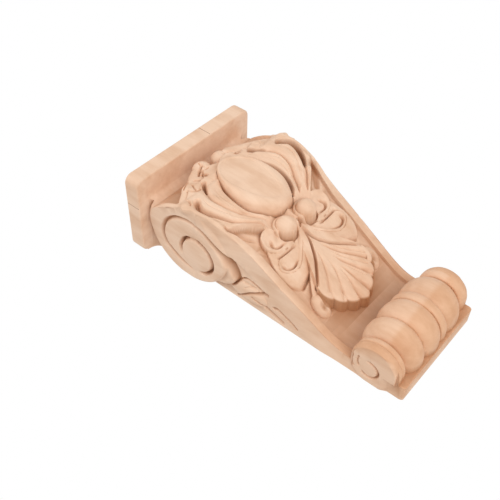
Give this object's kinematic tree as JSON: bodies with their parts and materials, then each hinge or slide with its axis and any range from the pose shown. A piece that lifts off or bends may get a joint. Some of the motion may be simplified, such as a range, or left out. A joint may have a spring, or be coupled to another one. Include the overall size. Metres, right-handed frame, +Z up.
{
  "type": "carved wooden corbel",
  "caption": "Carved wooden corbel with side scrolls, an oval cabochon, a hanging leaf and a lobed roll at the foot, under a square-edged top plate.",
  "frame": {"origin": "middle of the flat back, where the corbel is fixed to a wall or a leg", "axes": "+Z up along the length to the top plate, +Y out of the flat back into the wall, -Y the carved front, +X across to the right-hand scroll seen from behind"},
  "size_m": [0.1149, 0.065, 0.22],
  "materials": {
    "bare_wood": "bare pale hardwood, sanded and unfinished, grain along the length"
  },
  "bodies": {
    "root": {"corbel": "bare_wood"}
  },
  "joints": []
}
